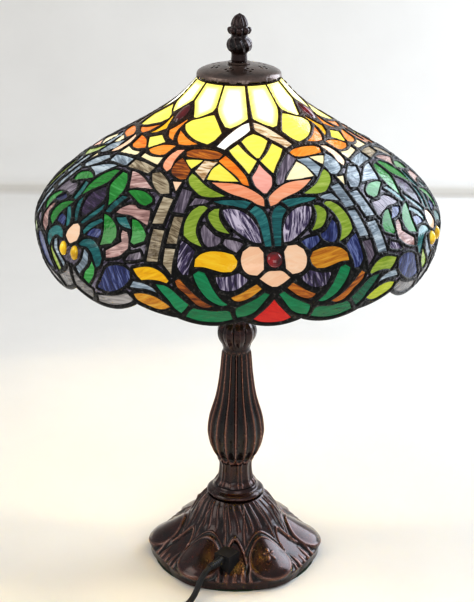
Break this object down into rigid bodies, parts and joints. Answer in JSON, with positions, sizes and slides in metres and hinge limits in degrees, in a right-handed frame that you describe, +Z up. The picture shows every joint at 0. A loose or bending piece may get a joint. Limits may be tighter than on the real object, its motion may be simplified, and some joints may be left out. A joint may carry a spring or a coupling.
{
  "type": "leaded glass table lamp",
  "caption": "Table lamp with a domed leaded-glass shade with a scalloped rim, on a fluted cast column and bell base, with two pull-chain sockets, finial and flex.",
  "frame": {"origin": "on the table, under the middle of the base", "axes": "+Z up along the column, -Y towards the side that the cord leaves"},
  "size_m": [0.4063, 0.4626, 0.5873],
  "materials": {
    "antique_bronze": "dark oxblood bronze, semi-gloss, rubbed edges",
    "brown_bronze": "satin brown bronze",
    "aged_brass": "aged",
    "plug_brass": "bright",
    "zinced_steel": "zinc plated",
    "dark_solder": "blackened solder",
    "leaded_glass": "coloured opalescent panes with blackened solder seams",
    "ruby_glass": "polished",
    "yellow_glass": "polished",
    "bulb_glass": "frosted",
    "black_plastic": "moulded",
    "black_flex": "smooth flex",
    "green_felt": "felt"
  },
  "bodies": {
    "stand": {"base_felt": "green_felt", "base_casting": "antique_bronze", "cord_grip": "black_plastic", "plinth_ring": "antique_bronze", "column_casting": "antique_bronze", "column_capital": "antique_bronze", "neck_spacer": "aged_brass", "centre_tube": "zinced_steel", "tube_washer": "zinced_steel", "tube_nut": "aged_brass", "cluster_body": "aged_brass", "riser_rod": "zinced_steel", "shade_rest_nut": "aged_brass", "inner_lead": "black_flex", "strain_relief": "black_plastic", "cord_lead": "black_flex", "cord_coil": "black_flex", "cord_tail": "black_flex", "plug_body": "black_plastic", "plug_blade_a": "plug_brass", "plug_blade_b": "plug_brass", "socket_cap_left": "aged_brass", "socket_insert_left": "black_plastic", "socket_shell_left": "aged_brass", "socket_cap_right": "aged_brass", "socket_insert_right": "black_plastic", "socket_shell_right": "aged_brass"},
    "shade": {"crown_ring": "aged_brass", "vent_cap": "brown_bronze", "rim_moulding": "dark_solder", "shade_flower_panel_1": "leaded_glass", "shade_flower_panel_2": "leaded_glass", "shade_flower_panel_3": "leaded_glass", "shade_leaf_panel_1": "leaded_glass", "shade_leaf_panel_2": "leaded_glass", "shade_leaf_panel_3": "leaded_glass", "flower_jewel_1": "ruby_glass", "flower_jewel_2": "ruby_glass", "flower_jewel_3": "ruby_glass", "crown_jewel_1": "ruby_glass", "crown_jewel_2": "ruby_glass", "crown_jewel_3": "ruby_glass", "leaf_jewel_1a": "yellow_glass", "leaf_jewel_1b": "yellow_glass", "leaf_jewel_2a": "yellow_glass", "leaf_jewel_2b": "yellow_glass", "leaf_jewel_3a": "yellow_glass", "leaf_jewel_3b": "yellow_glass"},
    "finial": {"finial_washer": "brown_bronze", "finial": "antique_bronze"},
    "chain_left": {"pull_chain_left": "aged_brass", "pull_knob_left": "aged_brass"},
    "chain_right": {"pull_chain_right": "aged_brass", "pull_knob_right": "aged_brass"},
    "bulb_left": {"bulb_base_left": "zinced_steel", "bulb_glass_left": "bulb_glass"},
    "bulb_right": {"bulb_base_right": "zinced_steel", "bulb_glass_right": "bulb_glass"}
  },
  "joints": [
    {"name": "shade_turn", "type": "hinge", "parent": "stand", "child": "shade", "pos_m": [0, 0, 0.52], "axis": [0, 0, 1], "continuous": true},
    {"name": "finial_turn", "type": "hinge", "parent": "stand", "child": "finial", "pos_m": [0, 0, 0.55], "axis": [0, 0, 1], "continuous": true},
    {"name": "left_chain_pull", "type": "slide", "parent": "stand", "child": "chain_left", "axis": [0, 0, -1], "range_m": [0, 0.008], "stiffness_N_per_m": 150, "springref_m": -0.004},
    {"name": "right_chain_pull", "type": "slide", "parent": "stand", "child": "chain_right", "axis": [0, 0, -1], "range_m": [0, 0.008], "stiffness_N_per_m": 150, "springref_m": -0.004},
    {"name": "left_lamp_turn", "type": "hinge", "parent": "stand", "child": "bulb_left", "pos_m": [-0.014, 0, 0.3306], "axis": [-0.309, 0, 0.9511], "continuous": true},
    {"name": "right_lamp_turn", "type": "hinge", "parent": "stand", "child": "bulb_right", "pos_m": [0.014, 0, 0.3306], "axis": [0.309, 0, 0.9511], "continuous": true}
  ]
}
